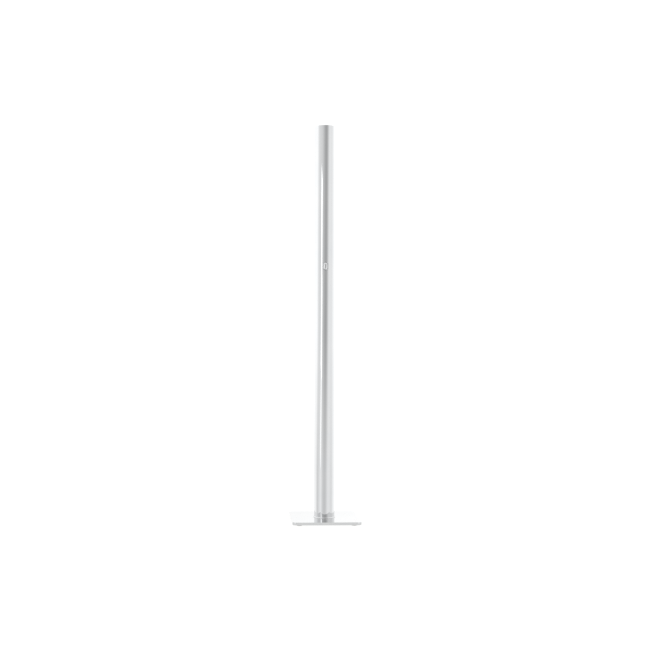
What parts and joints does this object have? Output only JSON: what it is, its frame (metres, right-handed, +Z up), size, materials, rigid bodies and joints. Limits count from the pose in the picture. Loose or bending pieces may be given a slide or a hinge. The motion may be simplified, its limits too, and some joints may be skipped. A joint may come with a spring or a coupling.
{
  "type": "flag pole stand",
  "caption": "Slim round polished column on a thin square foot plate, with an open pole socket in its top and a push-button latch in its front, at hand height.",
  "frame": {"origin": "on the floor, in the middle of the object's footprint, which is also on the column's axis", "axes": "+Z up along the column, -Y to the front, where the push-button is, +X to the right seen from the front"},
  "size_m": [0.3, 0.3, 1.75],
  "materials": {
    "polished_chrome": "mirror-polished chromium plate over steel",
    "rubber": "light grey moulded rubber",
    "turned_steel": "lathe-turned, lightly oiled",
    "zinc_plated_steel": "bright zinc plate",
    "cast_iron": "as cast, machined faces",
    "black_acetal": "machined black acetal",
    "drawn_aluminium": "drawn tube, mill finish"
  },
  "bodies": {
    "stand": {"base_plate": "polished_chrome", "foot_ring": "polished_chrome", "column_tube": "polished_chrome", "button_bezel": "polished_chrome", "foot_pad_front_left": "rubber", "foot_pad_front_right": "rubber", "foot_pad_rear_left": "rubber", "foot_pad_rear_right": "rubber", "stop_pad": "rubber", "column_plug": "turned_steel", "stop_disc": "turned_steel", "ballast_rod": "zinc_plated_steel", "ballast_washer": "zinc_plated_steel", "ballast_nut": "zinc_plated_steel", "catch_spring_left": "zinc_plated_steel", "catch_spring_right": "zinc_plated_steel", "foot_screw_front_left": "zinc_plated_steel", "foot_screw_front_right": "zinc_plated_steel", "foot_screw_rear_left": "zinc_plated_steel", "foot_screw_rear_right": "zinc_plated_steel", "plug_screw_front_left": "zinc_plated_steel", "plug_screw_front_right": "zinc_plated_steel", "plug_screw_rear_left": "zinc_plated_steel", "plug_screw_rear_right": "zinc_plated_steel", "housing_screw_front_left": "zinc_plated_steel", "housing_screw_front_right": "zinc_plated_steel", "housing_screw_rear_left": "zinc_plated_steel", "housing_screw_rear_right": "zinc_plated_steel", "socket_screw_lower": "zinc_plated_steel", "socket_screw_upper": "zinc_plated_steel", "socket_screw_bush": "zinc_plated_steel", "ballast_disc_1": "cast_iron", "ballast_disc_2": "cast_iron", "ballast_disc_3": "cast_iron", "top_bush": "black_acetal", "catch_housing_lower": "black_acetal", "catch_housing_upper": "black_acetal", "pole_sleeve": "drawn_aluminium"},
    "catch": {"push_button": "polished_chrome", "latch_plate": "turned_steel", "button_pin": "turned_steel"}
  },
  "joints": [
    {"name": "button_press", "type": "slide", "parent": "stand", "child": "catch", "axis": [0, 1, 0], "range_m": [0, 0.0035], "stiffness_N_per_m": 1500, "springref_m": -0.002, "deforming": ["catch_spring_left", "catch_spring_right"]}
  ]
}
